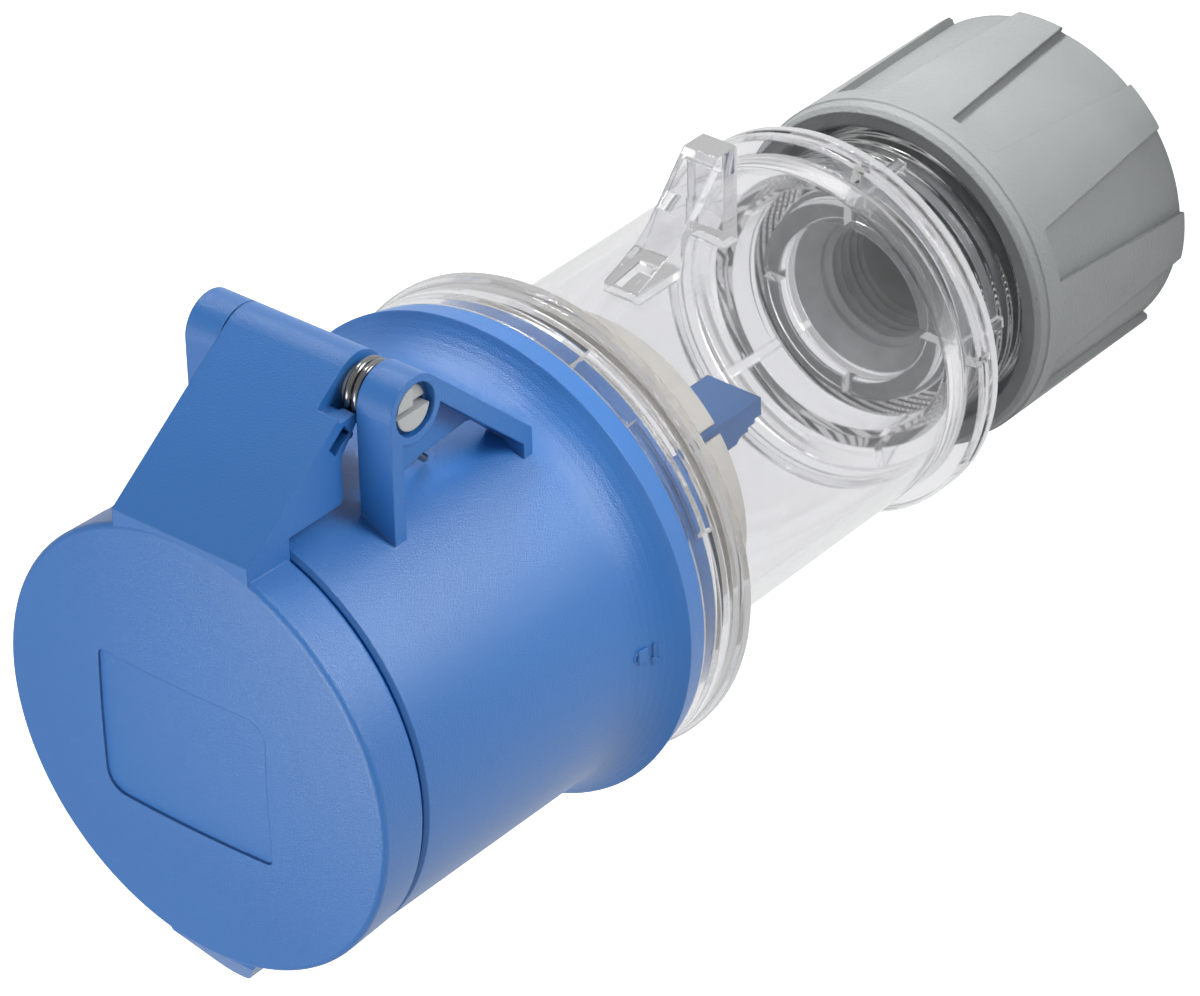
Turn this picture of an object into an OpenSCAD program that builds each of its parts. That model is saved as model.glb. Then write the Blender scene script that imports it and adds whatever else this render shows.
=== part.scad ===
// Industrial pin and sleeve connector, coupler half, 16 A, two poles and earth.
// It stands on the rear face of its gland nut, with the sprung lid on top.
// Z runs along the axis from the nut to the lid, and the lid's hinge is on the -Y side.

/* [Lengths along the axis] */
// Height of the gland nut
nut_h = 30.6; // [28:0.2:34]
// Open length between the nut and the rear ring of the clear housing
nut_gap = 11.3; // [9:0.1:13]
// Height of the rear ring
ring_h = 3.5; // [2.5:0.1:5]
// Length of the clear barrel, from the rear ring to the collar
clear_len = 49.6; // [46:0.2:60]
// Height of the clear collar
collar_h = 8.2; // [8:0.1:9.5]
// Height of the flange land on the socket housing
flange_h = 3.2; // [2.6:0.1:4]
// Length of the blue barrel, from the flange to its mouth
barrel_len = 39.7; // [38:0.1:46]
// Depth of the lid's rim
lid_rim = 6.45; // [6:0.05:8]
// Rise of the domed lid above its rim
lid_crown = 1.9; // [1:0.1:3]

/* [Socket housing] */
// Outside radius of the barrel at its mouth
barrel_r = 26.2; // [25.8:0.1:26.8]
// Extra radius of the barrel where the flare starts
barrel_draft = 0.35; // [0:0.05:0.6]
// Inside radius of the socket
socket_r = 22.9; // [22.6:0.1:23.2]
// Overhang of the flange beyond the clear collar
flange_step = 0.85; // [0.4:0.05:1.6]
// Narrowing of the flange land towards the seam
flange_taper = 0.7; // [0:0.1:1]
// Length of the concave flare above the flange
flare_h = 6.6; // [5:0.2:8]
// Height of the socket's floor above the flange
shoulder_t = 2.7; // [2:0.1:3.5]
// Length of the bayonet skirt below the flange
skirt_h = 5; // [4.8:0.1:5.2]
// Wall of the bayonet skirt
skirt_wall = 3.52; // [3.4:0.02:3.6]
// Height of the sealing lip at the mouth
lip_h = 0.5; // [0.3:0.1:0.8]
// Wall of the sealing lip
lip_t = 1.1; // [0.8:0.1:1.3]
// Width of the keyway in the socket
key_w = 6; // [5:0.2:7]
// Depth of the keyway
key_d = 1.4; // [1:0.1:1.8]

/* [Hinge] */
// Distance of the hinge axis from the main axis
hinge_out = 37; // [36:0.1:38]
// Depth of the hinge axis below the lid's rim edge
hinge_drop = 21.2; // [20:0.1:22.4]
// Radius of the bosses on the ears
boss_r = 3.95; // [3.6:0.05:4.2]
// Radius of the lid's knuckle
knuckle_r = 3.95; // [3.8:0.05:4.4]
// Clear width between the ears
ear_gap = 19.1; // [18:0.1:20]
// Thickness of an ear
ear_t = 4.6; // [3:0.1:5]
// Thickness of the recessed web in an ear
web_t = 2.4; // [1.8:0.1:3]
// Width of the front leg of an ear
leg_w = 1.8; // [1.4:0.1:2.4]
// Width of the sloping leg of an ear
brace_w = 2; // [1.5:0.1:2.6]
// Length of an ear along the axis
ear_len = 22.2; // [21:0.1:23]
// Radius of the hinge pin
pin_r = 2.5; // [2:0.05:2.5]
// Side clearance between the lid's arm and the ears
arm_gap = 0.2; // [0.1:0.05:0.4]

/* [Lid] */
// Radius of the lid at its front edge
lid_r = 26.5; // [26:0.1:27]
// Gap between the lid's rim and the barrel's mouth
lid_gap = 0.45; // [0.3:0.05:0.7]
// Wall of the lid's rim
lid_wall = 2.1; // [1.6:0.1:2.1]
// Thickness of the lid's top plate at its edge
lid_plate = 2.2; // [1.6:0.1:2.6]
// Width of the bare label recess
label_w = 23.4; // [18:0.2:28]
// Height of the bare label recess
label_h = 18; // [12:0.2:22]
// Depth of the bare label recess
label_d = 0.35; // [0.2:0.05:0.6]
// Reach of the finger tab beyond the lid's rim
tab_reach = 6; // [4:0.1:8]
// Width of the finger tab at the rim
tab_w = 14; // [12:0.5:20]
// Thickness of the finger tab at its tip
tab_t = 1.6; // [1.2:0.1:2.4]
// Thickness of the sloping plate and the cheeks of the arm
arm_t = 1.8; // [1.4:0.1:2.2]
// Thickness of the lid gasket
gasket_t = 2; // [1.6:0.1:2.2]

/* [Clear housing] */
// Outside radius of the clear barrel
clear_r = 22.15; // [21.9:0.05:22.6]
// Wall of the clear barrel
clear_wall = 1.9; // [1.6:0.1:2.1]
// Outside radius of the collar
collar_r = 28.8; // [28.6:0.1:29.6]
// Radial clearance of the bayonet skirt in the collar
bayonet_fit = 0.08; // [0.04:0.01:0.1]
// Reach of the three bayonet lugs
lug_reach = 1; // [0.8:0.1:1.2]
// Height of a bayonet lug
lug_h = 2; // [1.6:0.1:2.4]
// Turn from locked to open, in degrees
bayonet_turn = 30; // [24:1:36]
// Outside radius of the rear ring
ring_r = 24.3; // [23.5:0.1:25.5]
// Outside radius of the spigot that carries the nut
spigot_r = 18; // [17.8:0.1:18.2]
// Bore of the spigot
spigot_bore = 13.7; // [13:0.1:14]
// Thickness of the rear wall inside the housing
rear_wall = 2.3; // [1.8:0.1:3]
// Width of the strap eye
eye_w = 4.8; // [4:0.2:7]
// Reach of the strap eye from the axis
eye_out = 33.2; // [32:0.2:36]

/* [Cable gland] */
// Radius of the gland nut over its ribs
nut_r = 22.35; // [22:0.05:23]
// Depth of the grip panels at the rear face
panel_d = 1.1; // [0.6:0.05:1.2]
// Number of grip panels
panels = 8; // [6:1:10]
// Running clearance of the nut on the spigot
nut_fit = 0.08; // [0.04:0.01:0.1]
// Radius of the nut's mouth
mouth_r = 19.3; // [18.9:0.1:19.8]
// Radius of the cable hole in the nut
cable_r = 9; // [7:0.1:10]
// Travel of the nut when it is tightened
nut_travel = 6; // [4:0.5:6]
// Thickness of the pressure ring
press_t = 3; // [2:0.1:3.2]
// Radius of the cable passage in the gland seal
seal_r = 7; // [6:0.1:8]

/* [Contacts] */
// Radius of the circle on which the contacts stand
pitch_r = 8.25; // [8:0.05:8.5]
// Bore radius of the line and neutral sleeves
pole_bore = 2.55; // [2.5:0.01:2.6]
// Bore radius of the earth sleeve
earth_bore = 3.55; // [3.5:0.01:3.6]
// Wall of a contact sleeve
sleeve_wall = 0.8; // [0.6:0.05:1]
// Radius of the carrier's nose
nose_r = 18.1; // [17.8:0.1:18.3]
// Depth of the carrier's face below the mouth
nose_drop = 8.2; // [6:0.1:12]

/* [Hidden] */
$fn = 64;

seat = 0.05;       // fit of a piece that is pressed or laid into its seat
soft_gap = 0.3;    // room between a soft piece and a piece of another body
seam_gap = 0.1;    // seam between the two housings
big = 400;         // a size larger than the whole part

// levels along Z
z_ring = nut_h + nut_gap;
z_clear = z_ring + ring_h;
z_collar = z_clear + clear_len;
z_seam = z_collar + collar_h;
z_flange = z_seam + seam_gap;
z_flare = z_flange + flange_h;
z_mouth = z_flare + barrel_len;
z_lid = z_mouth + lid_gap;
z_edge = z_lid + lid_rim;
z_top = z_edge + lid_crown;
z_skirt = z_flange - skirt_h;
z_floor = z_flange + shoulder_t;
z_hinge = z_edge - hinge_drop;

dome_r = (lid_r * lid_r + lid_crown * lid_crown) / (2 * lid_crown);
flange_r = collar_r + flange_step;
flare_out = flange_r - barrel_r - barrel_draft;
flare_a = 2 * atan(flare_out / flare_h);
flare_r = flare_h / sin(flare_a);
clear_ri = clear_r - clear_wall;
collar_ri = collar_r - 2.8;
skirt_r = collar_ri - bayonet_fit;
skirt_ri = skirt_r - skirt_wall;
socket_bore = socket_r - 0.3;
stop_h = 0.8;
arm_w = ear_gap - 2 * arm_gap;
lid_ri = lid_r - lid_wall - 0.05;
ear_x = ear_gap / 2;
ear_end = z_hinge + boss_r - ear_len;

// contacts: name order is line, neutral, earth; angles are turned from -Y
contact_a = [-60, 60, 180];
contact_bore = [pole_bore, pole_bore, earth_bore];
z_nose = z_mouth - nose_drop;
nose_wall = 2;
z_carrier = z_collar - 10.7;
z_rim = z_skirt + 0.4;
carrier_r = clear_ri - 0.85;
sleeve_top = z_nose - nose_wall - 0.2;
pin_depth = 31.8;
term_h = 13.5;
term_z = z_carrier + 0.5;
screw_z = term_z + 4.5;
screw_r = 1.9;

function arc(cx, cy, r, a0, a1, n) =
    [for (i = [0:n]) let (a = a0 + (a1 - a0) * i / n) [cx + r * cos(a), cy + r * sin(a)]];

module tube(z0, z1, ro, ri) {
    translate([0, 0, z0])
        difference() {
            cylinder(r = ro, h = z1 - z0);
            translate([0, 0, -1]) cylinder(r = ri, h = z1 - z0 + 2);
        }
}

// an outline in Y and Z, given its thickness along X
module side(x0, t) {
    translate([x0, 0, 0])
        rotate([90, 0, 90])
            linear_extrude(t) children();
}

// a ring sector that is centred on an angle turned from -Y
module sector(z0, z1, ri, ro, mid, span) {
    translate([0, 0, z0])
        rotate([0, 0, mid - 90 - span / 2])
            rotate_extrude(angle = span)
                translate([ri, 0]) square([ro - ri, z1 - z0]);
}

// a rod along X through the hinge axis
module hinge_rod(x0, x1, r) {
    translate([x0, -hinge_out, z_hinge])
        rotate([0, 90, 0]) cylinder(r = r, h = x1 - x0);
}

// a rectangle with a small and a large round in turn at its corners
module label_outline(w, h, small, large) {
    polygon(concat(
        arc(w / 2 - large, h / 2 - large, large, 0, 90, 5),
        arc(-w / 2 + small, h / 2 - small, small, 90, 180, 5),
        arc(-w / 2 + large, -h / 2 + large, large, 180, 270, 5),
        arc(w / 2 - small, -h / 2 + small, small, 270, 360, 5)));
}

// ---- socket housing ----

brace_end = [0.4 - barrel_r, ear_end];
brace_l = norm([brace_end[0] + hinge_out, brace_end[1] - z_hinge]);
brace_a = atan2(z_hinge - brace_end[1], -hinge_out - brace_end[0]) + asin(boss_r / brace_l);
brace_n = [cos(brace_a + 90), sin(brace_a + 90)];
ear_foot = 4.8 - barrel_r;

// the web hangs under the boss and its lower edge is an arch
module web_outline() {
    arch = -flange_r;
    polygon([[arch + 1.8, z_hinge + boss_r - 0.5], [-hinge_out, z_hinge + boss_r - 0.5],
        [-hinge_out - 1.5, z_hinge - 1], brace_end - brace_n * 0.6,
        brace_end + [1.7, 1.3], [arch + 0.4, ear_end + 6.7], [arch, ear_end + 8.1],
        [arch + 0.4, ear_end + 14.9]]);
}

module brace_outline() {
    tangent = [-hinge_out, z_hinge] + brace_n * boss_r;
    polygon([tangent, brace_end, [ear_foot, ear_end], [ear_foot, ear_end + 1.4],
        [brace_end[0] + 1.5, ear_end + 1.4], tangent - brace_n * brace_w]);
}

module ear(sgn) {
    full = sgn > 0 ? ear_x : -ear_x - ear_t;
    thin = sgn > 0 ? ear_x : -ear_x - web_t;
    outer = sgn > 0 ? ear_x + ear_t - 1.2 : -ear_x - ear_t - 1;
    difference() {
        union() {
            hinge_rod(full, full + ear_t, boss_r);
            side(full, ear_t)
                polygon([[ear_foot, z_hinge + boss_r - leg_w], [-hinge_out, z_hinge + boss_r - leg_w],
                    [-hinge_out, z_hinge + boss_r], [ear_foot, z_hinge + boss_r]]);
            side(full, ear_t) brace_outline();
            side(thin, web_t) web_outline();
        }
        hinge_rod(-big / 2, big / 2, pin_r + seat);
        hinge_rod(outer, outer + 2.2, pin_r + 0.55);
    }
}

lug_span = 18;     // degrees

module lugs(z0, z1, ri, ro, span, turn) {
    for (k = [0:2])
        sector(z0, z1, ri, ro, 60 + 120 * k + turn, span);
}

module socket_housing() {
    color("#2f6fbd") {
        difference() {
            rotate_extrude()
                polygon(concat(
                    [[skirt_ri, z_skirt], [skirt_r, z_skirt], [skirt_r, z_flange],
                     [flange_r - flange_taper, z_flange], [flange_r - 0.1, z_flare - 0.5],
                     [flange_r, z_flare]],
                    arc(barrel_r + barrel_draft + flare_r, z_flare + flare_h, flare_r,
                        180 + flare_a, 180, 8),
                    [[barrel_r, z_mouth - 0.5], [barrel_r - 0.4, z_mouth],
                     [socket_r + lip_t, z_mouth], [socket_r + lip_t, z_mouth + lip_h],
                     [socket_r, z_mouth + lip_h], [socket_r, z_nose + 0.7],
                     [socket_bore, z_nose + 0.7], [socket_bore, z_floor + stop_h],
                     [skirt_ri - 0.5, z_floor + stop_h], [skirt_ri - 0.5, z_floor],
                     [skirt_ri, z_floor]]));
            translate([-key_w / 2, 0, z_floor + stop_h / 2])
                cube([key_w, socket_r + key_d, z_top]);
            at_screws(fix_r - 8) fix_screw(0.05, 10);
        }
        lugs(z_skirt, z_skirt + lug_h, skirt_r - 1, skirt_r + lug_reach, lug_span, 0);
        ear(1);
        ear(-1);
    }
}

// ---- lid ----

// torsion spring on the hinge pin
wire_r = 0.5;
spring_rm = pin_r + 0.15 + wire_r;
spring_ro = spring_rm + wire_r;
spring_x0 = -ear_x + wire_r + 0.1;
spring_pitch = 2 * wire_r + 0.03;
spring_x1 = spring_x0 + spring_pitch * 1.95;
notch_x = spring_x1 + wire_r + 0.1;

plate_len = norm([hinge_out - lid_r - 0.1, hinge_drop]);
plate_a = atan2(hinge_drop, hinge_out - lid_r - 0.1);
arm_root = [-lid_r - 0.1, z_edge];
// direction of the sloping plate, from the lid's edge to its tangent on the knuckle
slope_a = 270 - atan((hinge_out - lid_r - 0.1) / hinge_drop) - asin(knuckle_r / plate_len);
slope = [cos(slope_a), sin(slope_a)];
slope_n = [cos(slope_a - 90), sin(slope_a - 90)];
slope_end = [-hinge_out, z_hinge] + slope_n * knuckle_r;
// where the spring hooks into the lid, from the hinge axis
hook = slope_n * 1.75 - slope * 6.64;

module plate_outline() {
    polygon([[-lid_r + 2.6, z_edge], arm_root, slope_end, slope_end - slope_n * arm_t,
        arm_root - slope_n * arm_t + slope * 3.2, [-lid_r + 0.6, z_edge - 3.4],
        [-lid_r + 2.6, z_edge - 2]]);
}

module cheek_outline() {
    polygon([[-lid_r + 2.9, z_edge], arm_root, slope_end, [-hinge_out, z_hinge],
        [-hinge_out + 1.4, z_hinge + 3.7], [-hinge_out + 4.5, z_hinge + 6.3],
        [-lid_r - 1.2, z_hinge + 6.3], [-lid_r - 0.5, z_hinge + 6.7], [-lid_r - 0.5, z_lid],
        [-lid_r + 2.9, z_lid]]);
}

module arm() {
    difference() {
        union() {
            side(-arm_w / 2, arm_w) plate_outline();
            side(-arm_w / 2, arm_t) cheek_outline();
            side(arm_w / 2 - arm_t, arm_t) cheek_outline();
            hinge_rod(notch_x, arm_w / 2, knuckle_r);
        }
        hinge_rod(-big / 2, big / 2, pin_r + seat);
        // room for the spring beside the knuckle
        hinge_rod(-arm_w / 2 - 1, notch_x, spring_ro + 0.2);
        translate([-arm_w / 2 - 1, -big / 2, z_hinge - 10])
            cube([notch_x + arm_w / 2 + 1, big / 2 - hinge_out + 0.4, 16.4]);
        // anchor slot for the spring's leg
        side(-arm_w / 2 - 1, notch_x + arm_w / 2 + 1)
            translate([-hinge_out + hook[0], z_hinge + hook[1]])
                rotate(slope_a - 180) square([3, 2 * wire_r + 0.5], center = true);
    }
}

tab_tip = lid_r + tab_reach;

module tab_outline() {
    polygon(concat(
        [[-tab_w / 2, lid_r - 4], [-tab_w / 2, lid_r - 1.3], [-tab_w * 0.27, tab_tip - 3.1]],
        arc(0, tab_tip - 3, 3, 150, 30, 8),
        [[tab_w * 0.27, tab_tip - 3.1], [tab_w / 2, lid_r - 1.3], [tab_w / 2, lid_r - 4]]));
}

// the tab slopes down towards its tip
module finger_tab() {
    intersection() {
        translate([0, 0, z_lid]) linear_extrude(lid_rim) tab_outline();
        side(-tab_w, 2 * tab_w)
            polygon([[lid_r - 2.5, z_edge - 0.5], [lid_r + 0.3, z_edge - 0.8],
                [tab_tip - 0.1, z_lid + 0.35 + tab_t], [tab_tip + 0.1, z_lid + 0.35],
                [lid_r + 3.5, z_lid + 0.25], [lid_r - 2.5, z_lid + 1.35]]);
    }
}

function dome_z(r) = z_top - dome_r + sqrt(dome_r * dome_r - r * r);
function dome_line(r, drop, n) = [for (i = [n:-1:0]) [r * i / n, dome_z(r * i / n) - drop]];
edge_round = 0.8;
seat_z = z_mouth + lip_h + soft_gap + gasket_t;
gasket_ri = lid_ri - 4.75;

module lid_body() {
    ro = lid_r - edge_round;
    rotate_extrude()
        polygon(concat(
            [[0, z_edge - lid_plate], [gasket_ri - 0.15, z_edge - lid_plate],
             [gasket_ri - 0.15, seat_z], [lid_ri, seat_z], [lid_ri, z_lid],
             [lid_r - 0.5, z_lid], [lid_r - 0.2, z_lid + 0.4]],
            arc(ro, dome_z(ro) - edge_round, edge_round, 0, 75, 5),
            dome_line(ro, 0, 10)));
}

module lid() {
    color("#2f6fbd") {
        difference() {
            union() {
                lid_body();
                difference() {
                    finger_tab();
                    translate([0, 0, z_lid - 1]) cylinder(r = lid_r - 1.2, h = lid_rim);
                }
                difference() {
                    arm();
                    translate([0, 0, z_lid - 1]) cylinder(r = lid_ri + 0.5, h = lid_rim - lid_plate + 1.4);
                }
            }
            // bare recess for a label, which follows the dome
            difference() {
                translate([0, 0, z_edge]) linear_extrude(lid_crown + 2) label_outline(label_w, label_h, 0.8, 2.4);
                rotate_extrude() polygon(concat([[0, z_edge - 1], [lid_r, z_edge - 1]], dome_line(lid_r, label_d, 10)));
            }
        }
    }
}

module lid_gasket() {
    color("#2b2d30") tube(seat_z - gasket_t, seat_z, lid_ri - seat, gasket_ri);
}

// ---- hinge pin and spring ----

pin_end = ear_x + ear_t - 0.3;

module hinge_pin() {
    color("#b9bcbd")
        difference() {
            hinge_rod(-pin_end, pin_end, pin_r);
            for (s = [-1, 1])
                translate([s * pin_end - 2.5, -hinge_out - 0.35, z_hinge - 5]) cube([5, 0.7, 10]);
            for (s = [-1, 1])
                translate([s * pin_end - 0.7, -hinge_out - 5, z_hinge - 5]) cube([1.4, 5, 5]);
        }
}

// coil points along the hinge axis; one leg rests by the barrel, the other hooks into the lid's cheek
spring_a0 = 45;
barrel_back = sqrt(pow(barrel_r + barrel_draft, 2) - spring_x0 * spring_x0);
rest_leg = (hinge_out - spring_rm * cos(spring_a0) - barrel_back - wire_r - 0.2) / sin(spring_a0);
spring_end = atan2(hook[1], hook[0]) - acos(spring_rm / norm(hook));
spring_turns = 2 + (spring_end - spring_a0) / 360;
function coil_turn(t) = spring_a0 + 360 * t;
function coil_at(t) = [spring_x0 + spring_pitch * t,
    -hinge_out + spring_rm * cos(coil_turn(t)), z_hinge + spring_rm * sin(coil_turn(t))];
function coil_dir(t) = [0, -sin(coil_turn(t)), cos(coil_turn(t))];
function coil_step(i, n) = coil_at(spring_turns * i / n);
hook_leg = sqrt(hook[0] * hook[0] + hook[1] * hook[1] - spring_rm * spring_rm);
coil = concat(
    [coil_at(0) - coil_dir(0) * rest_leg],
    [for (i = [0:40]) coil_step(i, 40)],
    [coil_at(spring_turns) + coil_dir(spring_turns) * (hook_leg + wire_r * 0.6)]);

function unit(v) = v / norm(v);
function ahead(p, i) = unit(p[min(i + 1, len(p) - 1)] - p[max(i - 1, 0)]);

// a round wire along points that bend about X
module wire(p, r, n) {
    rings = [for (i = [0:len(p) - 1])
        let (d = ahead(p, i), u = unit(cross(d, [1, 0, 0])), v = cross(d, u))
        for (j = [0:n - 1]) p[i] + r * (cos(360 * j / n) * u + sin(360 * j / n) * v)];
    m = len(p);
    polyhedron(rings, concat(
        [[for (j = [0:n - 1]) j]],
        [for (i = [0:m - 2], j = [0:n - 1])
            [(i + 1) * n + j, (i + 1) * n + (j + 1) % n, i * n + (j + 1) % n, i * n + j]],
        [[for (j = [n - 1:-1:0]) (m - 1) * n + j]]));
}

module lid_spring() {
    color("#8d9093") {
        wire(coil, wire_r, 8);
        translate([-arm_w / 2 + 0.2, -hinge_out + hook[0], z_hinge + hook[1]])
            rotate([0, 90, 0]) cylinder(r = wire_r + 0.03, h = spring_x1 + arm_w / 2 + 0.1, $fn = 24);
    }
}

// ---- contact carrier and contacts ----

latch_x = [-15.9, -8.5];
latch_y = [-11.8, -7.9];
tongue_w = 3.7;
latch_z = z_collar - 17.9;
tongue_top = z_collar - 3;
latch_travel = 1.6;
latch_fit = 0.08;
term_r = 4.1;
term_er = 4.9;

function place(k) = [pitch_r * sin(contact_a[k]), -pitch_r * cos(contact_a[k])];
function term(k) = k == 2 ? term_er : term_r;
function sleeve_ro(k) = contact_bore[k] + sleeve_wall;

// two countersunk screws hold the terminal block in the skirt; they stand on a circle of radius r
fix_z = z_skirt + skirt_h / 2;
fix_r = skirt_r - 0.1;
head_r = 1.9;
head_h = 1.1;

module at_screws(r) {
    for (a = [120, 240])
        rotate([0, 0, a - 90])
            translate([r, 0, fix_z])
                rotate([0, 90, 0]) children();
}

// a screw of radius 1.2 with its tip at the start and its head 8 mm on, grown by g; the hole goes on for more
module fix_screw(g, more) {
    cylinder(r = 1.2 + g, h = 8 - head_h + 0.1, $fn = 32);
    translate([0, 0, 8 - head_h]) cylinder(r1 = 1.2 + g, r2 = head_r + g, h = head_h, $fn = 32);
    if (more > 0) translate([0, 0, 7.99]) cylinder(r = head_r + g, h = more, $fn = 32);
}

// direction in which a terminal's screw leaves the carrier: -X, +X or +Y
screw_turn = [180, 0, 90];

// rear half of the carrier: it holds the terminals and is screwed into the skirt
module terminal_block() {
    color("#d9d3c3")
        difference() {
            rotate_extrude()
                polygon([[0, z_carrier], [carrier_r - 0.4, z_carrier], [carrier_r, z_carrier + 0.4],
                    [carrier_r, z_rim], [skirt_ri - seat, z_rim], [skirt_ri - seat, z_floor],
                    [0, z_floor]]);
            for (k = [0:2])
                translate(concat(place(k), 0)) {
                    translate([0, 0, z_carrier - 1])
                        cylinder(r = term(k) + seat, h = term_z + term_h + seat - z_carrier + 1);
                    translate([0, 0, z_carrier]) cylinder(r = sleeve_ro(k) + 0.15, h = z_top);
                    translate([0, 0, screw_z])
                        rotate([0, 90, screw_turn[k]]) cylinder(r = screw_r + 0.6, h = big / 8);
                }
            // passage for the latch's tongue, and the window beside it
            translate([latch_x[0] - latch_fit, latch_y[0] - latch_fit, z_carrier - 1])
                cube([tongue_w + 2 * latch_fit, latch_y[1] - latch_y[0] + 2 * latch_fit,
                    tongue_top + latch_travel + 1.2 - z_carrier]);
            rotate([0, 0, -55 - 90])
                translate([carrier_r - 3, -2, z_carrier + 4.9]) cube([8, 4, 1.6]);
            at_screws(fix_r - 8.3) cylinder(r = 1.25, h = 12, $fn = 32);
        }
}

// front half of the carrier: the face towards the plug, with a chamber for each sleeve
module contact_carrier() {
    color("#d9d3c3")
        difference() {
            rotate_extrude()
                polygon([[0, z_floor], [nose_r, z_floor], [nose_r, z_nose - 0.8],
                    [nose_r - 0.8, z_nose], [0, z_nose]]);
            for (k = [0:2])
                translate(concat(place(k), 0)) {
                    translate([0, 0, z_floor - 1])
                        cylinder(r = sleeve_ro(k) + 0.75, h = z_nose - nose_wall - z_floor + 1);
                    translate([0, 0, z_nose - nose_wall - 0.1])
                        cylinder(r1 = contact_bore[k] + 0.25, r2 = contact_bore[k] + 0.6, h = nose_wall + 0.2);
                }
        }
}

module contact(k) {
    ro = sleeve_ro(k);
    z0 = term_z;
    translate(concat(place(k), 0))
        difference() {
            union() {
                translate([0, 0, z0]) cylinder(r = term(k), h = term_h);
                translate([0, 0, z0 + term_h]) cylinder(r = ro, h = sleeve_top - z0 - term_h);
            }
            translate([0, 0, sleeve_top - pin_depth])
                cylinder(r = contact_bore[k], h = big);
            translate([0, 0, z0 - 1]) cylinder(r = 2, h = 9.5);
            translate([0, 0, screw_z]) rotate([0, 90, screw_turn[k]]) cylinder(r = screw_r + seat, h = 10);
            for (a = [0, 90])
                rotate([0, 0, a + 45]) translate([-10, -0.3, sleeve_top - 14]) cube([20, 0.6, 20]);
        }
}

module line_contact() color("#b98a4a") contact(0);
module neutral_contact() color("#b98a4a") contact(1);
module earth_contact() color("#b98a4a") contact(2);

module clip(k) {
    translate(concat(place(k), 0))
        tube(sleeve_top - 6, sleeve_top - 3, sleeve_ro(k) + 0.6, sleeve_ro(k) + seat);
}

module line_clip() color("#8d9093") clip(0);
module neutral_clip() color("#8d9093") clip(1);
module earth_clip() color("#8d9093") clip(2);

module terminal_screw(k) {
    tip = 2.4;
    head = term(k) + 1.4;
    translate(concat(place(k), screw_z))
        rotate([0, 90, screw_turn[k]])
            difference() {
                translate([0, 0, tip]) cylinder(r = screw_r, h = head - tip);
                translate([-0.3, -4, head - 0.8]) cube([0.6, 8, 2]);
            }
}

module line_screw() color("#a9acae") terminal_screw(0);
module neutral_screw() color("#a9acae") terminal_screw(1);
module earth_screw() color("#a9acae") terminal_screw(2);

module carrier_screws() {
    color("#a9acae")
        at_screws(fix_r - 8)
            difference() {
                fix_screw(0, 0);
                translate([-0.25, -3, 7.5]) cube([0.5, 6, 1]);
            }
}

// sliding latch: a tongue in the carrier and a wedge with a stepped grip outside it
module release_latch() {
    w = latch_y[1] - latch_y[0];
    vis = z_carrier - 0.2 - latch_travel;
    color("#3f73ad") {
        translate([latch_x[0], latch_y[0], vis - 1]) cube([tongue_w, w, tongue_top - vis + 1]);
        side(latch_x[0], latch_x[1] - latch_x[0])
            translate([latch_y[0], latch_z])
                polygon([[0, 0], [2.2, 0], [2.2, 1.2], [2.7, 1.2], [2.7, 2.4], [3.2, 2.4], [3.2, 3.6],
                    [w, 4.6], [w, vis - latch_z], [0, vis - latch_z]]);
    }
}

module housing_seal() {
    color("#2b2d30") tube(z_skirt - 1, z_skirt, skirt_r - 0.14 * skirt_wall, skirt_ri + 0.06 * skirt_wall);
}

// ---- clear cable housing ----

z_shelf = z_skirt - 1 - soft_gap;
spigot_z = nut_h - 13.6;
// collar that keeps the seal in the spigot, with a groove round it and a funnel above
lip_z = z_ring - 5.6;
lip_top = z_ring - 2.5;
lip_r = [spigot_bore - 3.3, spigot_bore - 0.9];
groove_z = lip_z + 1.3;
groove_r = spigot_bore + 1.8;
z_lug = z_skirt - 0.15;
lug_room = 0.15;
gusset_z = nut_h - 3.2 + nut_travel;

eye_z = z_clear + 0.357 * clear_len;
eye_h = 0.363 * clear_len;

// a point of the eye: out is 0 at the barrel and 1 at its tip, along is 0 at its rear face and 1 at its front end
function eye_at(out, along) = [-clear_r - out * (eye_out - clear_r), eye_z + along * eye_h];

module strap_eye() {
    difference() {
        side(-eye_w / 2, eye_w)
            polygon([eye_at(-0.2, 0), eye_at(1, 0), eye_at(1, 0.2), eye_at(0.69, 0.37), eye_at(0.4, 0.54),
                eye_at(0.22, 0.68), eye_at(0.1, 0.86), eye_at(0.02, 1), eye_at(-0.2, 1)]);
        side(-eye_w / 2 - 1, eye_w + 2)
            polygon([eye_at(-0.25, 0.14), eye_at(0.82, 0.14), eye_at(0.82, 0.18), eye_at(0.55, 0.33),
                eye_at(0.43, 0.44), eye_at(-0.04, 0.6), eye_at(-0.25, 0.6)]);
    }
}

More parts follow.
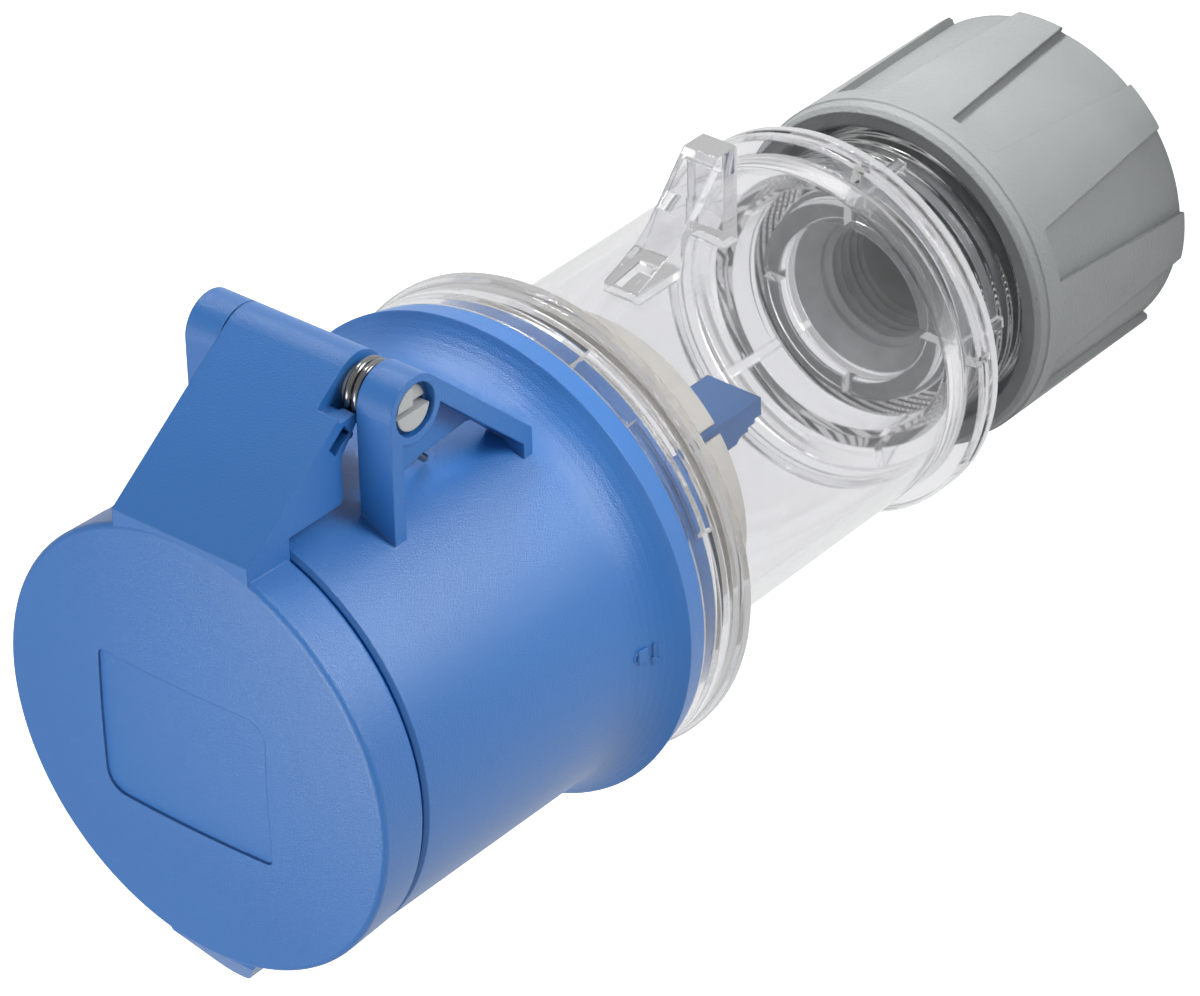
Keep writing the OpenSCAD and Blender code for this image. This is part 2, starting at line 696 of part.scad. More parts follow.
module cable_housing() {
    color("#dfe6ea", 0.35) {
        difference() {
            union() {
                rotate_extrude()
                    polygon([[spigot_bore, spigot_z], [spigot_r - 0.6, spigot_z], [spigot_r, spigot_z + 0.6],
                        [spigot_r, z_ring], [ring_r - 0.3, z_ring], [ring_r, z_ring + 0.3],
                        [ring_r, z_ring + 1.3], [ring_r - 0.5, z_ring + 1.5], [ring_r - 0.5, z_ring + 1.9],
                        [ring_r, z_ring + 2.1], [ring_r, z_clear - 0.4], [ring_r - 0.4, z_clear],
                        [clear_r, z_clear], [clear_r, z_collar], [collar_r - 0.2, z_collar],
                        [collar_r + 0.5, z_collar + 0.5], [collar_r + 0.5, z_collar + 1.6],
                        [collar_r, z_collar + 2], [collar_r, z_seam - 3.1], [collar_r - 0.5, z_seam - 2.8],
                        [collar_r - 0.5, z_seam - 2], [collar_r, z_seam - 1.7], [collar_r, z_seam - 0.3],
                        [collar_r - 0.3, z_seam], [collar_ri, z_seam], [collar_ri, z_shelf],
                        [clear_ri, z_shelf], [clear_ri, z_clear + 2.6], [clear_ri - 0.65, z_ring + rear_wall + 0.4],
                        [clear_ri - 2.35, z_ring + rear_wall - 1], [groove_r + 0.7, z_ring + 0.7],
                        [groove_r + 0.1, z_ring - 0.1], [groove_r, groove_z], [lip_r[1] + 0.2, groove_z],
                        [lip_r[1], lip_top], [lip_r[0], lip_top], [lip_r[0], lip_z],
                        [spigot_bore, lip_z]]);
                strap_eye();
                // gussets between the rear ring and the spigot
                for (a = [12:72:359])
                    rotate([0, 0, -a])
                        side(-0.6, 1.2)
                            polygon([[-spigot_r + 1, z_ring + 0.5], [-ring_r + 2.2, z_ring + 0.5],
                                [-ring_r + 2.2, z_ring - 0.6], [-mouth_r + 0.25, nut_h + nut_travel + 0.4],
                                [-mouth_r + 0.25, gusset_z + 0.2], [-mouth_r + 0.45, gusset_z],
                                [-spigot_r + 1, gusset_z]]);
            }
            // four notches in the collar round the seal
            for (a = [0:90:270])
                rotate([0, 0, a])
                    translate([lip_r[0] - 1, -0.6, lip_top - 1.4]) cube([3.5, 1.2, 3]);
            // bayonet track: three grooves, each with a way out through the front
            lugs(z_lug, z_lug + lug_h + 2 * lug_room, collar_ri - 0.5, skirt_r + lug_reach + 0.2,
                lug_span + 2 + bayonet_turn, bayonet_turn / 2);
            lugs(z_lug + 0.3, z_seam + 1, collar_ri - 0.6, skirt_r + lug_reach + 0.3, lug_span + 1, bayonet_turn);
        }
    }
}

// ---- cable gland ----

cage_z = spigot_z - 0.3;

cage_h = 9;
cage_ri = cable_r + 1.2;
seal_plain = 6;    // length of the seal's smooth bore, inside the cage

module gland_seal() {
    zt = lip_z - seat;
    zs = cage_z + cage_h + soft_gap;
    zb = cage_z + 4.3;
    zp = zb + seal_plain;
    color("#5d6165")
        rotate_extrude()
            polygon(concat(
                [[seal_r, zb], [cage_ri - 0.2, zb], [cage_ri - 0.2, zs], [spigot_bore - 0.2, zs],
                 [spigot_bore - 0.2, zt], [lip_r[0], zt], [seal_r + 1.3, zt - 2.4]],
                [for (i = [3:-1:0]) each [[seal_r + 1.3, zp + 1.3 + 1.6 * i], [seal_r + 0.4, zp + 0.9 + 1.6 * i],
                    [seal_r + 0.4, zp + 0.6 + 1.6 * i], [seal_r + 1.3, zp + 0.2 + 1.6 * i]]],
                [[seal_r, zp]]));
}

module clamp_cage() {
    z0 = cage_z - 3.2;
    color("#9aa0a3")
        difference() {
            rotate_extrude()
                polygon([[cage_ri, z0 + 0.6], [cage_ri + 0.8, z0], [spigot_r - 1.5, z0],
                    [spigot_r - 1.5, spigot_z - seat], [spigot_bore - seat, spigot_z - seat],
                    [spigot_bore - seat, cage_z + cage_h], [cage_ri + 1, cage_z + cage_h],
                    [cage_ri, cage_z + cage_h / 2]]);
            for (i = [0:7])
                rotate([0, 0, 45 * i + 10])
                    translate([cage_ri - 1, -0.6, cage_z + 1]) cube([6, 1.2, cage_h + 1]);
        }
}

floor_t = 3.5;
press_r = 15.9;

module pressure_ring() {
    color("#c9cccd")
        difference() {
            tube(floor_t + seat, floor_t + seat + press_t, press_r, cable_r + 0.6);
            translate([0, 0, floor_t + press_t - 1.4]) cylinder(r1 = cable_r + 0.6, r2 = cable_r + 3.4, h = 1.6);
        }
}

// grip panel: a trapezium that widens towards the rear, with a slightly conical floor
module panel_cut(a) {
    top = nut_h - 4.4;
    rotate([0, 0, a])
        difference() {
            rotate([90, 0, 90])
                linear_extrude(nut_r + 2)
                    polygon([[-5.7, -1], [5.7, -1], [3.3, top], [-3.3, top]]);
            translate([0, 0, -2]) cylinder(r1 = nut_r - panel_d, r2 = nut_r - 0.8 * panel_d, h = nut_h + 2);
        }
}

module gland_nut() {
    color("#9ea3a3")
        difference() {
            rotate_extrude()
                polygon([[cable_r, 0], [nut_r - 0.5, 0], [nut_r, 0.6],
                    [nut_r, nut_h - 1.7], [nut_r - 0.2, nut_h - 1.6], [nut_r - 0.5, nut_h - 0.6],
                    [nut_r - 1.1, nut_h], [mouth_r + 0.3, nut_h], [mouth_r, nut_h - 0.3],
                    [mouth_r, nut_h - 3.6], [spigot_r + nut_fit, nut_h - 4.2],
                    [spigot_r + nut_fit, floor_t + press_t + 0.5], [press_r + nut_fit, floor_t + press_t + 0.5],
                    [press_r + nut_fit, floor_t], [cable_r, floor_t]]);
            for (i = [0:panels - 1])
                panel_cut(360 / panels * (i + 0.5) + 89);
        }
}

socket_housing();
lid();
lid_gasket();
hinge_pin();
lid_spring();
terminal_block();
contact_carrier();
line_contact();
neutral_contact();
earth_contact();
line_clip();
neutral_clip();
earth_clip();
line_screw();
neutral_screw();
earth_screw();
carrier_screws();
release_latch();
housing_seal();
cable_housing();
gland_seal();
clamp_cage();
pressure_ring();
gland_nut();
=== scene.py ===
import math

import bmesh
import bpy
from mathutils import Matrix, Vector


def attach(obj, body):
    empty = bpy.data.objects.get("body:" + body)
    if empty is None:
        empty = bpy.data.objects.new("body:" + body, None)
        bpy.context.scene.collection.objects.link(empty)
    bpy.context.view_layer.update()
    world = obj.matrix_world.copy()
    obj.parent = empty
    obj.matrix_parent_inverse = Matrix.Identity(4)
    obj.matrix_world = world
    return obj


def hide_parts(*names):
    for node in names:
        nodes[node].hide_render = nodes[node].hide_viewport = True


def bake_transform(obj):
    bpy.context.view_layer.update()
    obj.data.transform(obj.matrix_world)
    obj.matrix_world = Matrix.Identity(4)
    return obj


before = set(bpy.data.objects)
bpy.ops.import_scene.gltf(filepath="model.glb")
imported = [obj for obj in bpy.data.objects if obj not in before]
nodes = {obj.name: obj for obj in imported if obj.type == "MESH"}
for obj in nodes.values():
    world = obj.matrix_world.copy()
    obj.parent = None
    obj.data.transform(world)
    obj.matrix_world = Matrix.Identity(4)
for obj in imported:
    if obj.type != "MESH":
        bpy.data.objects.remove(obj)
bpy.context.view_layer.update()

scene = bpy.context.scene
scene.view_settings.view_transform = "Standard"


cameraView = {
    "place": (-0.32336, -0.32639, 0.47710),
    "right": (-0.7777, 0.0163, -0.6284),
    "up": (0.3316, -0.8386, -0.4321),
    "lens": 160.48,
    "sensor": 36.0,
    "clip": (0.01, 20),
}


def addCamera(view):
    right = Vector(view["right"]).normalized()
    back = right.cross(Vector(view["up"])).normalized()
    up = back.cross(right)
    data = bpy.data.cameras.new("camera")
    data.lens = view["lens"]
    data.sensor_width = view["sensor"]
    data.clip_start, data.clip_end = view["clip"]
    cam = bpy.data.objects.new("camera", data)
    scene.collection.objects.link(cam)
    turn = Matrix((right, up, back)).transposed().to_4x4()
    cam.matrix_world = Matrix.Translation(view["place"]) @ turn
    scene.camera = cam


addCamera(cameraView)
print("camera placed")


def newMaterial(name):
    mat = bpy.data.materials.new(name)
    mat.use_nodes = True
    tree = mat.node_tree
    tree.nodes.clear()
    out = tree.nodes.new("ShaderNodeOutputMaterial")
    shader = tree.nodes.new("ShaderNodeBsdfPrincipled")
    tree.links.new(shader.outputs[0], out.inputs[0])
    return mat, tree, shader


def objectCoords(tree):
    return tree.nodes.new("ShaderNodeTexCoord").outputs["Object"]


def noiseOf(tree, coords, scale, detail=2.0, rough=0.5):
    noise = tree.nodes.new("ShaderNodeTexNoise")
    noise.inputs["Scale"].default_value = scale
    noise.inputs["Detail"].default_value = detail
    noise.inputs["Roughness"].default_value = rough
    tree.links.new(coords, noise.inputs["Vector"])
    return noise.outputs["Fac"]


def rampOf(tree, fac, stops):
    ramp = tree.nodes.new("ShaderNodeValToRGB")
    elements = ramp.color_ramp.elements
    while len(elements) < len(stops):
        elements.new(0.5)
    for element, (pos, color) in zip(elements, stops):
        element.position = pos
        element.color = color if len(color) == 4 else (*color, 1)
    tree.links.new(fac, ramp.inputs[0])
    return ramp.outputs[0]


def rangeOf(tree, value, low, high):
    mapped = tree.nodes.new("ShaderNodeMapRange")
    mapped.inputs["To Min"].default_value = low
    mapped.inputs["To Max"].default_value = high
    tree.links.new(value, mapped.inputs["Value"])
    return mapped.outputs[0]


def bumpOf(tree, height, strength, distance, under=None):
    bump = tree.nodes.new("ShaderNodeBump")
    bump.inputs["Strength"].default_value = strength
    bump.inputs["Distance"].default_value = distance
    tree.links.new(height, bump.inputs["Height"])
    if under is not None:
        tree.links.new(under, bump.inputs["Normal"])
    return bump.outputs[0]


def shade(color, k):
    return tuple(min(1.0, c * k) for c in color[:3])


def mathOf(tree, operation, a, b=None):
    step = tree.nodes.new("ShaderNodeMath")
    step.operation = operation
    for socket, value in zip(step.inputs, (a, b)):
        if isinstance(value, (int, float)):
            socket.default_value = value
        elif value is not None:
            tree.links.new(value, socket)
    return step.outputs[0]


def softEdges(tree, radius):
    edges = tree.nodes.new("ShaderNodeBevel")
    edges.samples = 4
    edges.inputs["Radius"].default_value = radius
    return edges.outputs[0]


# slow waves that the mould leaves in every hard plastic
sinkMarks = {"scale": 90, "strength": 0.2, "depth": 0.0002}


def mouldedPlastic(name, look):
    # fine spark-eroded grain over slow changes of tone
    mat, tree, shader = newMaterial(name)
    coords = objectCoords(tree)
    tone = noiseOf(tree, coords, look["toneScale"], 3)
    color = look["color"]
    spread = look["toneSpread"]
    mix = rampOf(tree, tone, [(0.3, shade(color, 1 - spread)), (0.7, shade(color, 1 + spread))])
    tree.links.new(mix, shader.inputs["Base Color"])
    grain = noiseOf(tree, coords, look["grainScale"], 3, 0.6)
    tree.links.new(rangeOf(tree, grain, *look["rough"]), shader.inputs["Roughness"])
    sink = noiseOf(tree, coords, sinkMarks["scale"], 1)
    edges = softEdges(tree, look.get("edge", 0.00025))
    soft = bumpOf(tree, sink, sinkMarks["strength"], sinkMarks["depth"], edges)
    tree.links.new(bumpOf(tree, grain, look["grainStrength"], look["grainDepth"], soft), shader.inputs["Normal"])
    shader.inputs["IOR"].default_value = 1.5
    shader.inputs["Specular IOR Level"].default_value = look.get("specular", 0.5)
    return mat


def threadHeight(tree, coords, look):
    # a round-crested helix on the spigot, below one height and within a band of radii
    parts = tree.nodes.new("ShaderNodeSeparateXYZ")
    tree.links.new(coords, parts.inputs[0])
    x, y, z = parts.outputs
    turn = mathOf(tree, "DIVIDE", mathOf(tree, "ARCTAN2", y, x), 2 * math.pi)
    lift = mathOf(tree, "SUBTRACT", mathOf(tree, "DIVIDE", z, look["pitch"]), turn)
    wave = mathOf(tree, "SINE", mathOf(tree, "MULTIPLY", lift, 2 * math.pi))
    squares = mathOf(tree, "ADD", mathOf(tree, "MULTIPLY", x, x), mathOf(tree, "MULTIPLY", y, y))
    radius = mathOf(tree, "SQRT", squares)
    nearest, furthest = look["band"]
    inside = mathOf(tree, "LESS_THAN", radius, look["radius"] + furthest)
    outside = mathOf(tree, "GREATER_THAN", radius, look["radius"] - nearest)
    below = mathOf(tree, "LESS_THAN", z, look["top"])
    zone = mathOf(tree, "MULTIPLY", mathOf(tree, "MULTIPLY", inside, outside), below)
    return mathOf(tree, "MULTIPLY", wave, zone)


def clearPlastic(name, look):
    mat, tree, shader = newMaterial(name)
    coords = objectCoords(tree)
    shader.inputs["Base Color"].default_value = (*look["color"], 1)
    shader.inputs["Transmission Weight"].default_value = 1.0
    shader.inputs["IOR"].default_value = look["ior"]
    flow = noiseOf(tree, coords, look["flowScale"], 2)
    haze = noiseOf(tree, coords, look["hazeScale"], 2)
    tree.links.new(rangeOf(tree, haze, *look["rough"]), shader.inputs["Roughness"])
    soft = bumpOf(tree, flow, look["flow"], look["flowDepth"], softEdges(tree, look["edge"]))
    thread = bumpOf(tree, threadHeight(tree, coords, look["thread"]), 1.0, look["thread"]["depth"], soft)
    tree.links.new(thread, shader.inputs["Normal"])
    # painted glow: where a ray has stayed long between the walls (glossy depth above deep), the clear housing gives
    # off pale light itself, so it comes out pale, not black
    path = tree.nodes.new("ShaderNodeLightPath")
    paintedGlow = tree.nodes.new("ShaderNodeEmission")
    paintedGlow.inputs["Strength"].default_value = look["paintedGlowLevel"]
    either = tree.nodes.new("ShaderNodeMixShader")
    paintedGlowMask = mathOf(tree, "GREATER_THAN", path.outputs["Glossy Depth"], look["deep"])
    tree.links.new(paintedGlowMask, either.inputs[0])
    tree.links.new(shader.outputs[0], either.inputs[1])
    tree.links.new(paintedGlow.outputs[0], either.inputs[2])
    tree.links.new(either.outputs[0], tree.nodes["Material Output"].inputs[0])
    return mat


metalGrain = {"strength": 0.12, "depth": 0.0001}
rubberSkin = {"dustScale": 260, "grainScale": 1200, "strength": 0.05, "depth": 0.0001}


def metal(name, look):
    mat, tree, shader = newMaterial(name)
    coords = objectCoords(tree)
    stretch = tree.nodes.new("ShaderNodeMapping")
    stretch.inputs["Scale"].default_value = look.get("stretch", (1, 1, 1))
    tree.links.new(coords, stretch.inputs["Vector"])
    lines = noiseOf(tree, stretch.outputs[0], look["scale"], 2)
    color = look["color"]
    mix = rampOf(tree, lines, [(0.3, shade(color, 0.85)), (0.7, shade(color, 1.1))])
    tree.links.new(mix, shader.inputs["Base Color"])
    shader.inputs["Metallic"].default_value = 1.0
    tree.links.new(rangeOf(tree, lines, *look["rough"]), shader.inputs["Roughness"])
    tree.links.new(bumpOf(tree, lines, metalGrain["strength"], metalGrain["depth"]), shader.inputs["Normal"])
    return mat


def rubber(name, look):
    mat, tree, shader = newMaterial(name)
    coords = objectCoords(tree)
    dust = noiseOf(tree, coords, rubberSkin["dustScale"], 4, 0.6)
    color = look["color"]
    mix = rampOf(tree, dust, [(0.35, color), (0.75, shade(color, 1.35))])
    tree.links.new(mix, shader.inputs["Base Color"])
    tree.links.new(rangeOf(tree, dust, *look["rough"]), shader.inputs["Roughness"])
    grain = noiseOf(tree, coords, rubberSkin["grainScale"], 2)
    tree.links.new(bumpOf(tree, grain, rubberSkin["strength"], rubberSkin["depth"]), shader.inputs["Normal"])
    return mat


bluePlastic = mouldedPlastic("bluePlastic", {
    "color": (0.019, 0.14, 0.43), "toneScale": 35, "toneSpread": 0.04,
    "grainScale": 5200, "grainStrength": 0.3, "grainDepth": 0.0003,
    "rough": (0.28, 0.4), "specular": 0.75})
latchBlue = mouldedPlastic("latchBlue", {
    "color": (0.03, 0.13, 0.36), "toneScale": 60, "toneSpread": 0.05, "edge": 0.00015,
    "grainScale": 3000, "grainStrength": 0.1, "grainDepth": 0.0002, "rough": (0.35, 0.5)})
greyPlastic = mouldedPlastic("greyPlastic", {
    "color": (0.23, 0.242, 0.243), "toneScale": 80, "toneSpread": 0.06, "edge": 0.0003,
    "grainScale": 2200, "grainStrength": 0.35, "grainDepth": 0.0004, "rough": (0.42, 0.6), "specular": 0.45})
beigePlastic = mouldedPlastic("beigePlastic", {
    "color": (0.66, 0.64, 0.58), "toneScale": 50, "toneSpread": 0.04,
    "grainScale": 3000, "grainStrength": 0.12, "grainDepth": 0.0002, "rough": (0.4, 0.55)})
palePlastic = mouldedPlastic("palePlastic", {
    "color": (0.4, 0.42, 0.42), "toneScale": 90, "toneSpread": 0.04,
    "grainScale": 3000, "grainStrength": 0.08, "grainDepth": 0.0002, "rough": (0.28, 0.4)})
cagePlastic = mouldedPlastic("cagePlastic", {
    "color": (0.4, 0.42, 0.42), "toneScale": 70, "toneSpread": 0.05,
    "grainScale": 2600, "grainStrength": 0.15, "grainDepth": 0.0002, "rough": (0.4, 0.55)})
clearShell = clearPlastic("clearShell", {
    "color": (0.9, 0.9, 0.915), "ior": 1.44, "rough": (0.0, 0.03),
    # deep and the level after it set the painted glow in the clear housing: after how many glossy bounces it starts,
    # and how bright it is
    "deep": 2.5, "paintedGlowLevel": 0.5, "flowScale": 45, "flow": 0.06,
    "flowDepth": 0.0004, "hazeScale": 1400, "edge": 0.0003,
    "thread": {"pitch": 0.0022, "radius": 0.018, "band": (0.0008, 0.0002), "top": 0.0372, "depth": 0.0004}})
blackRubber = rubber("blackRubber", {"color": (0.012, 0.012, 0.013), "rough": (0.5, 0.7)})
greyRubber = rubber("greyRubber", {"color": (0.33, 0.345, 0.345), "rough": (0.35, 0.5)})
springSteel = metal("springSteel", {"color": (0.22, 0.22, 0.225), "scale": 900, "rough": (0.16, 0.3)})
zincSteel = metal("zincSteel", {"color": (0.62, 0.62, 0.6), "scale": 700, "rough": (0.25, 0.42)})
brass = metal("brass", {"color": (0.78, 0.58, 0.28), "scale": 600, "rough": (0.18, 0.34), "stretch": (1, 1, 12)})

finishOf = {
    "socket_housing": bluePlastic, "lid": bluePlastic, "lid_gasket": blackRubber, "hinge_pin": palePlastic,
    "lid_spring": springSteel, "terminal_block": beigePlastic, "contact_carrier": beigePlastic, "line_contact": brass,
    "neutral_contact": brass, "earth_contact": brass, "line_clip": springSteel, "neutral_clip": springSteel,
    "earth_clip": springSteel, "line_screw": zincSteel, "neutral_screw": zincSteel, "earth_screw": zincSteel,
    "carrier_screws": zincSteel, "release_latch": latchBlue, "housing_seal": blackRubber,
    "cable_housing": clearShell, "gland_seal": greyRubber, "clamp_cage": cagePlastic,
    "pressure_ring": cagePlastic, "gland_nut": greyPlastic,
}


def dressNodes(finishes):
    for name, mat in finishes.items():
        slots = nodes[name].material_slots
        if not slots:
            nodes[name].data.materials.append(mat)
        for s in nodes[name].material_slots:
            s.material = mat


dressNodes(finishOf)
print("materials set")


# torsion spring on the hinge pin, in metres and degrees; it replaces the plain coil
springSize = {
    "hingeY": -0.037,
    "hingeZ": 0.1319,
    "coilRadius": 0.00315,
    "wire": 0.0005,
    "start": -0.00895,
    "pitch": 0.00103,
    "startAngle": 45,
    "restLeg": 0.01284,
    "hook": (0.00246, 0.00641),   # from the hinge axis, where the wire turns into the lid
    "hookEnd": -0.00915,
    "bend": 0.0009,
    "bendSteps": 8,
    "follows": (0.0039, 0.0062),  # two distances out along the hook
    "sides": 14,
    "stepsPerTurn": 40,
    "smooth": 40,
}


def select(obj, mode):
    bpy.ops.object.select_all(action="DESELECT")
    obj.select_set(True)
    bpy.context.view_layer.objects.active = obj
    bpy.ops.object.mode_set(mode=mode)


def selectVerts(obj, test):
    mesh = bmesh.from_edit_mesh(obj.data)
    bpy.ops.mesh.select_mode(type="VERT")
    bpy.ops.mesh.select_all(action="DESELECT")
    for vert in mesh.verts:
        if test(vert.co):
            vert.select_set(True)
    mesh.select_flush(True)
    bmesh.update_edit_mesh(obj.data)


def settle(obj, matrix):
    # puts the object's place into its mesh
    select(obj, "OBJECT")
    obj.matrix_world = matrix
    bpy.ops.object.transform_apply(location=True, rotation=True, scale=True)


def buildSpring(size):
    hookOut = math.hypot(*size["hook"])
    toTangent = math.acos(size["coilRadius"] / hookOut)
    endAngle = math.degrees(math.atan2(size["hook"][1], size["hook"][0]) - toTangent)
    turns = 2 + (endAngle - size["startAngle"]) / 360
    bpy.ops.object.select_all(action="DESELECT")
    bpy.ops.mesh.primitive_circle_add(vertices=size["sides"], radius=size["wire"],
                                      location=(size["coilRadius"], 0, 0), rotation=(math.pi / 2, 0, 0))
    spring = bpy.context.object
    spring.name = "hinge_spring_coil"
    bpy.ops.object.transform_apply(location=True, rotation=True, scale=True)
    winding = spring.modifiers.new("winding", "SCREW")
    winding.axis = "Z"
    winding.angle = math.radians(360 * turns)
    winding.screw_offset = size["pitch"] * turns
    winding.steps = winding.render_steps = round(size["stepsPerTurn"] * turns)
    winding.use_merge_vertices = False
    bpy.ops.object.modifier_apply(modifier="winding")
    # the coil's own axis becomes the hinge axis
    axes = Matrix(((0, 0, 1), (1, 0, 0), (0, 1, 0))).to_4x4()
    place = Matrix.Translation((size["start"], size["hingeY"], size["hingeZ"]))
    settle(spring, place @ axes @ Matrix.Rotation(math.radians(size["startAngle"]), 4, "Z"))

    def ringAt(angle, along):
        a = math.radians(angle)
        return Vector((size["start"] + along, size["hingeY"] + size["coilRadius"] * math.cos(a),
                       size["hingeZ"] + size["coilRadius"] * math.sin(a)))

    def ahead(angle):
        a = math.radians(angle)
        return Vector((0, -math.sin(a), math.cos(a)))

    first = ringAt(size["startAngle"], 0)
    last = ringAt(endAngle, size["pitch"] * turns)
    back = ahead(size["startAngle"])
    up = ahead(endAngle)
    reach = size["wire"] * 1.05

    def selectEnd(centre, way):
        selectVerts(spring, lambda co: (co - centre).length < reach and abs((co - centre).dot(way)) < 1e-5)

    select(spring, "EDIT")
    # leg that rests by the barrel
    selectEnd(first, back)
    bpy.ops.mesh.extrude_region_move(TRANSFORM_OT_translate={"value": -back * size["restLeg"]})
    bpy.ops.mesh.edge_face_add()
    # leg that hooks into the lid's cheek
    straight = math.sqrt(hookOut ** 2 - size["coilRadius"] ** 2) - size["bend"]
    selectEnd(last, up)
    bpy.ops.mesh.extrude_region_move(TRANSFORM_OT_translate={"value": up * straight})
    corner = last + up * straight + Vector((-size["bend"], 0, 0))
    bpy.ops.mesh.spin(steps=size["bendSteps"], angle=math.radians(90), center=corner,
                      axis=Vector((1, 0, 0)).cross(up))
    bpy.ops.mesh.extrude_region_move(TRANSFORM_OT_translate={"value": (size["hookEnd"] - corner.x, 0, 0)})
    bpy.ops.mesh.edge_face_add()
    bpy.ops.mesh.select_all(action="SELECT")
    bpy.ops.mesh.remove_doubles(threshold=0.00001)
    bpy.ops.mesh.normals_make_consistent(inside=False)
    bpy.ops.object.mode_set(mode="OBJECT")
    bpy.ops.object.shade_smooth_by_angle(angle=math.radians(size["smooth"]))
    spring.data.materials.clear()
    spring.data.materials.append(springSteel)
    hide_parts("lid_spring")
    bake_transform(spring)


buildSpring(springSize)
print("spring built")


# raised mark for the way the lid opens: a padlock and an arrow, with no lettering
markSize = {
    "radius": 0.02642,
    "height": 0.1113,
    "angle": 89,          # from the hinge side towards the near side
    "rise": 0.00026,
    "lock": (0.0013, 0.0017),
    "shackle": (0.00055, 0.00014),
    "arrow": 0.0021,
    "arrowAt": 0.0008,    # below the lock
    "arrowHead": (2.2, 1.9),
    "line": 0.0003,
    "edge": 0.00006,
}


def buildMark(size):
    # every stroke is modelled flat, with the barrel's axis as its x and the way round as its y
    strokes = []

    def add(call, **options):
        bpy.ops.object.select_all(action="DESELECT")
        call(**options)
        strokes.append(bpy.context.object)
        return bpy.context.object

    wide, tall = size["lock"]
    thick = size["rise"] * 2
    body = add(bpy.ops.mesh.primitive_cube_add, size=1, location=(0, 0, 0), scale=(wide, tall, thick))
    add(bpy.ops.mesh.primitive_torus_add, major_radius=size["shackle"][0], minor_radius=size["shackle"][1],
        major_segments=20, minor_segments=8, location=(wide / 2, 0, 0))
    shaftAt = -wide / 2 - size["arrowAt"]
    add(bpy.ops.mesh.primitive_cube_add, size=1, location=(shaftAt, 0, 0),
        scale=(size["line"], size["arrow"], thick))
    under, over = size["arrowHead"]
    add(bpy.ops.mesh.primitive_cone_add, vertices=3, radius1=size["line"] * under, radius2=size["line"] * over,
        depth=thick, location=(shaftAt, size["arrow"] / 2, 0), rotation=(0, 0, math.pi / 2))
    bpy.ops.object.select_all(action="DESELECT")
    for stroke in strokes:
        stroke.select_set(True)
    bpy.context.view_layer.objects.active = body
    bpy.ops.object.join()
    body.name = "barrel_mark"
    bpy.ops.object.transform_apply(location=True, rotation=True, scale=True)
    edge = body.modifiers.new("edge", "BEVEL")
    edge.width = size["edge"]
    edge.segments = 2
    bpy.ops.object.modifier_apply(modifier="edge")
    a = math.radians(size["angle"])
    out = Vector((-math.sin(a), -math.cos(a), 0))
    along = Vector((0, 0, 1))
    turn = Matrix((along, out.cross(along), out)).transposed().to_4x4()
    settle(body, Matrix.Translation(out * size["radius"] + along * size["height"]) @ turn)
    # every point goes as far out from the barrel's wall as it stood off the flat
    wall = nodes["socket_housing"]
    toWall = wall.matrix_world.inverted()
    for point in body.data.vertices:
        off = point.co.dot(out) - size["radius"]
        side = Vector((point.co.x, point.co.y, 0)).normalized()
        start = toWall @ (side * 0.05 + along * point.co.z)
        hit, place, normal, face = wall.ray_cast(start, toWall.to_3x3() @ -side)
        if hit:
            point.co = wall.matrix_world @ place + side * off
    body.data.materials.clear()
    body.data.materials.append(bluePlastic)
    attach(body, "socket_body")


buildMark(markSize)
print("mark built")


stageLook = {
    "paper": 0.8,        # colour of the floor
    "paperGlow": 0.85,   # what is added where the floor is looked at, so that it comes out white
    "paperInGlass": 0.1, # the same glow where the floor is seen in gloss or through the clear housing
    "floorSize": 8,
    "sky": 0.33,         # light that falls on the object from all round
    "skyInGloss": 0.5,   # the same sky where it is seen in gloss
    "skyInGlass": 0.8,   # and where it is seen through the clear housing
}


def seenRays(tree, *names):
    path = tree.nodes.new("ShaderNodeLightPath")
    seen = path.outputs[names[0]]
    for name in names[1:]:
        seen = mathOf(tree, "MAXIMUM", seen, path.outputs[name])
    return seen


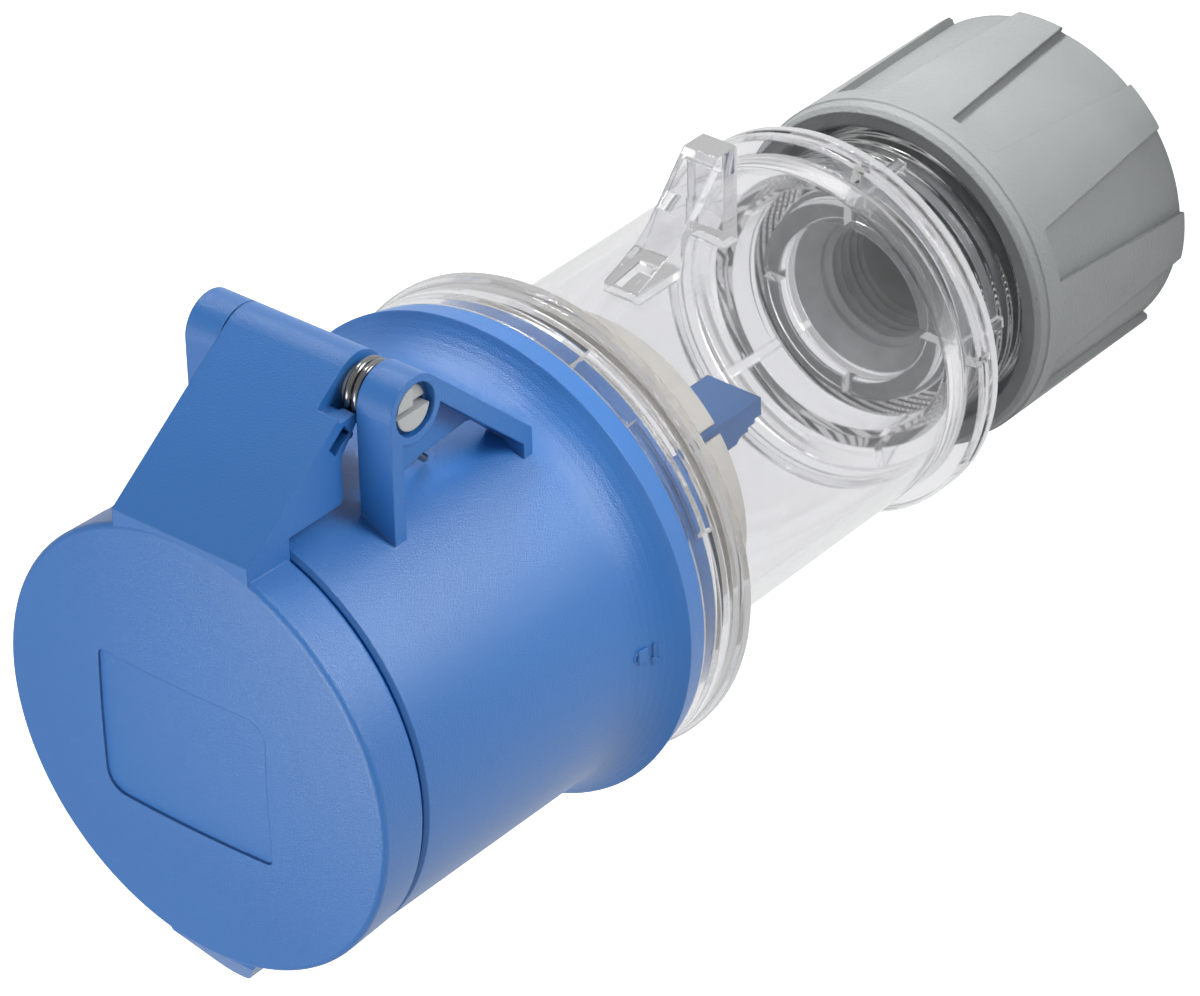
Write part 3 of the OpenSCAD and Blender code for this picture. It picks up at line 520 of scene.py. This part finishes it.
def paleFloor(look):
    bpy.ops.object.select_all(action="DESELECT")
    bpy.ops.mesh.primitive_plane_add(size=look["floorSize"], location=(0, 0, 0))
    floor = bpy.context.object
    floor.name = "floor"
    mat = bpy.data.materials.new("paleFloor")
    mat.use_nodes = True
    tree = mat.node_tree
    tree.nodes.clear()
    out = tree.nodes.new("ShaderNodeOutputMaterial")
    paper = tree.nodes.new("ShaderNodeBsdfDiffuse")
    paper.inputs["Color"].default_value = (look["paper"], look["paper"], look["paper"], 1)
    glow = tree.nodes.new("ShaderNodeEmission")
    direct = mathOf(tree, "MULTIPLY", seenRays(tree, "Is Camera Ray"), look["paperGlow"])
    indirect = seenRays(tree, "Is Glossy Ray", "Is Transmission Ray")
    mirrored = mathOf(tree, "MULTIPLY", indirect, look["paperInGlass"])
    tree.links.new(mathOf(tree, "MAXIMUM", direct, mirrored), glow.inputs["Strength"])
    both = tree.nodes.new("ShaderNodeAddShader")
    tree.links.new(paper.outputs[0], both.inputs[0])
    tree.links.new(glow.outputs[0], both.inputs[1])
    tree.links.new(both.outputs[0], out.inputs[0])
    floor.data.materials.append(mat)


def paleWorld(look):
    world = bpy.data.worlds.new("studio")
    scene.world = world
    world.use_nodes = True
    tree = world.node_tree
    tree.nodes.clear()
    out = tree.nodes.new("ShaderNodeOutputWorld")
    sky = tree.nodes.new("ShaderNodeBackground")
    sky.inputs["Color"].default_value = (1, 1, 1, 1)
    level = mathOf(tree, "MAXIMUM", look["sky"], seenRays(tree, "Is Camera Ray"))
    gloss = mathOf(tree, "MULTIPLY", seenRays(tree, "Is Glossy Ray"), look["skyInGloss"])
    glass = mathOf(tree, "MULTIPLY", seenRays(tree, "Is Transmission Ray"), look["skyInGlass"])
    level = mathOf(tree, "MAXIMUM", level, gloss)
    tree.links.new(mathOf(tree, "MAXIMUM", level, glass), sky.inputs["Strength"])
    tree.links.new(sky.outputs[0], out.inputs[0])


paleFloor(stageLook)
paleWorld(stageLook)


lamps = {
    "overhead": {"place": (0.05, 0.15, 1.0), "aim": (0, 0, 0.15), "size": (0.6, 0.6),
                 "power": 6.9, "spread": 180},
    "lowKey": {"place": (-0.21, -0.2, 0.03), "aim": (0, 0, 0.11), "size": (0.16, 0.1),
               "power": 0.2, "spread": 90},
    "hingeSide": {"place": (0.14, -0.36, 0.03), "aim": (0, 0, 0.01), "size": (0.12, 0.12),
                  "power": 0.16, "spread": 40},
    "farSide": {"place": (-0.75, 0.65, 0.12), "aim": (0, 0, 0.04), "size": (0.3, 0.4),
                "power": 0.3, "spread": 180},
}


def addLamp(name, look):
    data = bpy.data.lights.new(name, "AREA")
    data.shape = "RECTANGLE"
    data.size, data.size_y = look["size"]
    data.energy = look["power"]
    data.spread = math.radians(look["spread"])
    lamp = bpy.data.objects.new(name, data)
    scene.collection.objects.link(lamp)
    away = (Vector(look["place"]) - Vector(look["aim"])).normalized()
    turn = away.to_track_quat("Z", "Y").to_matrix().to_4x4()
    lamp.matrix_world = Matrix.Translation(look["place"]) @ turn


for name, look in lamps.items():
    addLamp(name, look)
print("stage and lamps set")
